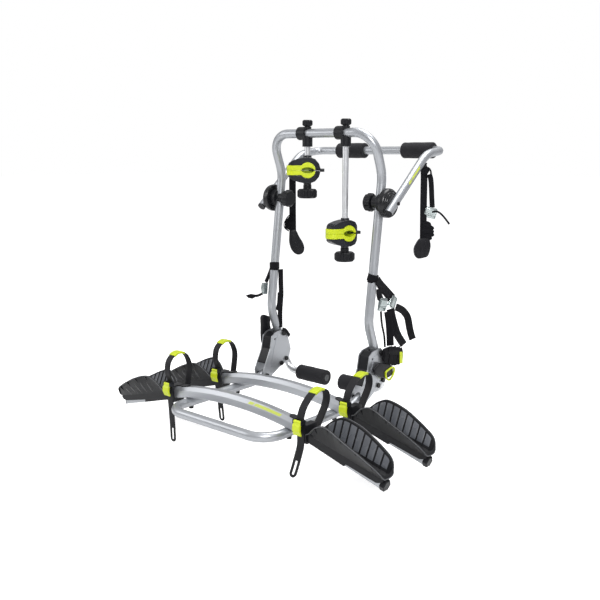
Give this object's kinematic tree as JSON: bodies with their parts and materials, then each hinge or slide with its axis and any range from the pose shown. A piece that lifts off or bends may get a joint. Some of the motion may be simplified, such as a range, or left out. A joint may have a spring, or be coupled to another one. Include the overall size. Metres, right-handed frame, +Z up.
{
  "type": "hitch bike rack",
  "caption": "Folding rear bicycle carrier of silver tube: U-shaped frame with hanging frame claws, hinged upper arm with foam pads, fold-up platform with wheel trays and ratchet straps.",
  "frame": {"origin": "middle of the two lower foam pads' common axis, where the carrier rests on the bumper", "axes": "+X across the car, +Y towards the car, +Z up"},
  "size_m": [1.1342, 0.8695, 1.0608],
  "materials": {
    "frame_paint": "satin silver powder coat",
    "bare_aluminium": "brushed",
    "black_plastic": "fine grain",
    "foam": "matt closed-cell foam",
    "lime_plastic": "satin gloss",
    "rubber_strap": "satin moulded rubber",
    "webbing": "woven polyester",
    "zinc_plate": "zinc plated",
    "black_steel": "black coated"
  },
  "bodies": {
    "main_frame": {"upright_frame": "frame_paint", "side_plates_inner": "frame_paint", "side_plates_outer": "frame_paint", "bracket_spacers": "black_plastic", "frame_bolts": "black_steel", "hub_bases": "black_plastic", "side_strap_left": "webbing", "side_strap_right": "webbing", "side_cam_buckles": "zinc_plate", "lower_strap_left": "webbing", "lower_strap_right": "webbing"},
    "arm": {"upper_arm": "frame_paint", "arm_discs": "black_plastic", "arm_fittings": "black_plastic", "upper_pad_left": "foam", "upper_pad_right": "foam", "strap_anchors": "black_plastic"},
    "hanging_strap_left": {"upper_strap_left": "webbing"},
    "hanging_strap_right": {"upper_strap_right": "webbing", "upper_cam_buckle": "zinc_plate"},
    "hub_knob_left": {"hub_knob_left": "black_plastic"},
    "hub_knob_right": {"hub_knob_right": "black_plastic"},
    "bumper_arm_left": {"lower_arm_left": "bare_aluminium", "lower_pad_left": "foam"},
    "bumper_arm_right": {"lower_arm_right": "bare_aluminium", "lower_pad_right": "foam"},
    "platform": {"platform_loop": "frame_paint", "cross_tube_front": "frame_paint", "cross_tube_rear": "frame_paint", "platform_bolts": "black_steel", "tray_rails": "frame_paint", "rail_caps": "black_plastic", "end_brackets": "black_plastic", "wheel_straps_front": "rubber_strap", "wheel_straps_rear": "rubber_strap", "ratchet_buckles": "black_plastic"},
    "tray_front_left": {"tray_front_left": "black_plastic"},
    "tray_front_right": {"tray_front_right": "black_plastic"},
    "tray_rear_left": {"tray_rear_left": "black_plastic"},
    "tray_rear_right": {"tray_rear_right": "black_plastic"},
    "ratchet_lever_front_left": {"ratchet_lever_front_left": "lime_plastic"},
    "ratchet_lever_front_right": {"ratchet_lever_front_right": "lime_plastic"},
    "ratchet_lever_rear_left": {"ratchet_lever_rear_left": "lime_plastic"},
    "ratchet_lever_rear_right": {"ratchet_lever_rear_right": "lime_plastic"},
    "holder_left": {"clamp_left": "black_plastic", "rod_left": "bare_aluminium"},
    "clamp_knob_left": {"clamp_knob_left": "black_plastic"},
    "claw_left": {"claw_shell_left": "black_plastic", "claw_liner_upper_left": "lime_plastic"},
    "jaw_left": {"claw_jaw_left": "black_plastic", "claw_liner_lower_left": "lime_plastic"},
    "claw_knob_left": {"claw_knob_left": "black_plastic"},
    "holder_right": {"clamp_right": "black_plastic", "rod_right": "bare_aluminium"},
    "clamp_knob_right": {"clamp_knob_right": "black_plastic"},
    "claw_right": {"claw_shell_right": "black_plastic", "claw_liner_upper_right": "lime_plastic"},
    "jaw_right": {"claw_jaw_right": "black_plastic", "claw_liner_lower_right": "lime_plastic"},
    "claw_knob_right": {"claw_knob_right": "black_plastic"}
  },
  "joints": [
    {"name": "arm_hinge", "type": "hinge", "parent": "main_frame", "child": "arm", "pos_m": [0, -0.03739, 0.6367], "axis": [1, 0, 0], "range_deg": [-90, 20]},
    {"name": "strap_left_hang", "type": "hinge", "parent": "arm", "child": "hanging_strap_left", "pos_m": [-0.272, 0.095, 0.72121], "axis": [1, 0, 0], "range_deg": [-20, 90]},
    {"name": "strap_right_hang", "type": "hinge", "parent": "arm", "child": "hanging_strap_right", "pos_m": [0.272, 0.128, 0.74925], "axis": [1, 0, 0], "range_deg": [-20, 90]},
    {"name": "hub_knob_left_turn", "type": "hinge", "parent": "main_frame", "child": "hub_knob_left", "pos_m": [-0.18, -0.03739, 0.6367], "axis": [1, 0, 0], "continuous": true},
    {"name": "hub_knob_right_turn", "type": "hinge", "parent": "main_frame", "child": "hub_knob_right", "pos_m": [0.18, -0.03739, 0.6367], "axis": [1, 0, 0], "continuous": true},
    {"name": "bumper_arm_left_tilt", "type": "hinge", "parent": "main_frame", "child": "bumper_arm_left", "pos_m": [-0.215, -0.0345, 0.052], "axis": [1, 0, 0], "range_deg": [-20, 12]},
    {"name": "bumper_arm_right_tilt", "type": "hinge", "parent": "main_frame", "child": "bumper_arm_right", "pos_m": [0.215, -0.0345, 0.052], "axis": [1, 0, 0], "range_deg": [-20, 12]},
    {"name": "platform_fold", "type": "hinge", "parent": "main_frame", "child": "platform", "pos_m": [0, -0.1395, 0.008], "axis": [1, 0, 0], "range_deg": [-78, 0]},
    {"name": "tray_front_left_slide", "type": "slide", "parent": "platform", "child": "tray_front_left", "axis": [-0.9627, 0, -0.2706], "range_m": [0, 0.045]},
    {"name": "tray_front_right_slide", "type": "slide", "parent": "platform", "child": "tray_front_right", "axis": [0.9627, 0, -0.2706], "range_m": [0, 0.045]},
    {"name": "tray_rear_left_slide", "type": "slide", "parent": "platform", "child": "tray_rear_left", "axis": [-0.9627, 0, -0.2706], "range_m": [0, 0.045]},
    {"name": "tray_rear_right_slide", "type": "slide", "parent": "platform", "child": "tray_rear_right", "axis": [0.9627, 0, -0.2706], "range_m": [0, 0.045]},
    {"name": "ratchet_lever_front_left_hinge", "type": "hinge", "parent": "platform", "child": "ratchet_lever_front_left", "pos_m": [-0.284, -0.5195, 0.046], "axis": [1, 0, 0], "range_deg": [-80, 0]},
    {"name": "ratchet_lever_front_right_hinge", "type": "hinge", "parent": "platform", "child": "ratchet_lever_front_right", "pos_m": [0.284, -0.5195, 0.046], "axis": [1, 0, 0], "range_deg": [-80, 0]},
    {"name": "ratchet_lever_rear_left_hinge", "type": "hinge", "parent": "platform", "child": "ratchet_lever_rear_left", "pos_m": [-0.284, -0.3045, 0.046], "axis": [1, 0, 0], "range_deg": [-80, 0]},
    {"name": "ratchet_lever_rear_right_hinge", "type": "hinge", "parent": "platform", "child": "ratchet_lever_rear_right", "pos_m": [0.284, -0.3045, 0.046], "axis": [1, 0, 0], "range_deg": [-80, 0]},
    {"name": "holder_left_swing", "type": "hinge", "parent": "main_frame", "child": "holder_left", "pos_m": [-0.054, -0.078, 0.858], "axis": [1, 0, 0], "range_deg": [-90, 0]},
    {"name": "clamp_knob_left_turn", "type": "hinge", "parent": "holder_left", "child": "clamp_knob_left", "pos_m": [-0.054, -0.078, 0.89], "axis": [0, 0, 1], "continuous": true},
    {"name": "claw_left_turn", "type": "hinge", "parent": "holder_left", "child": "claw_left", "pos_m": [-0.054, -0.078, 0.737], "axis": [0, 0, 1], "range_deg": [-90, 90]},
    {"name": "jaw_left_open", "type": "hinge", "parent": "claw_left", "child": "jaw_left", "pos_m": [-0.10801, -0.12332, 0.737], "axis": [-0.6428, 0.766, 0], "range_deg": [0, 22]},
    {"name": "claw_knob_left_turn", "type": "hinge", "parent": "jaw_left", "child": "claw_knob_left", "pos_m": [-0.054, -0.078, 0.675], "axis": [0, 0, 1], "continuous": true},
    {"name": "holder_right_swing", "type": "hinge", "parent": "main_frame", "child": "holder_right", "pos_m": [0.107, -0.078, 0.858], "axis": [1, 0, 0], "range_deg": [-90, 0]},
    {"name": "clamp_knob_right_turn", "type": "hinge", "parent": "holder_right", "child": "clamp_knob_right", "pos_m": [0.107, -0.078, 0.89], "axis": [0, 0, 1], "continuous": true},
    {"name": "claw_right_turn", "type": "hinge", "parent": "holder_right", "child": "claw_right", "pos_m": [0.107, -0.078, 0.536], "axis": [0, 0, 1], "range_deg": [-90, 90]},
    {"name": "jaw_right_open", "type": "hinge", "parent": "claw_right", "child": "jaw_right", "pos_m": [0.08405, -0.14466, 0.536], "axis": [-0.9455, 0.3256, 0], "range_deg": [0, 22]},
    {"name": "claw_knob_right_turn", "type": "hinge", "parent": "jaw_right", "child": "claw_knob_right", "pos_m": [0.107, -0.078, 0.474], "axis": [0, 0, 1], "continuous": true}
  ],
  "couplings": [
    {"joint": "strap_left_hang", "follows": "arm_hinge", "ratio": -1},
    {"joint": "strap_right_hang", "follows": "arm_hinge", "ratio": -1}
  ]
}
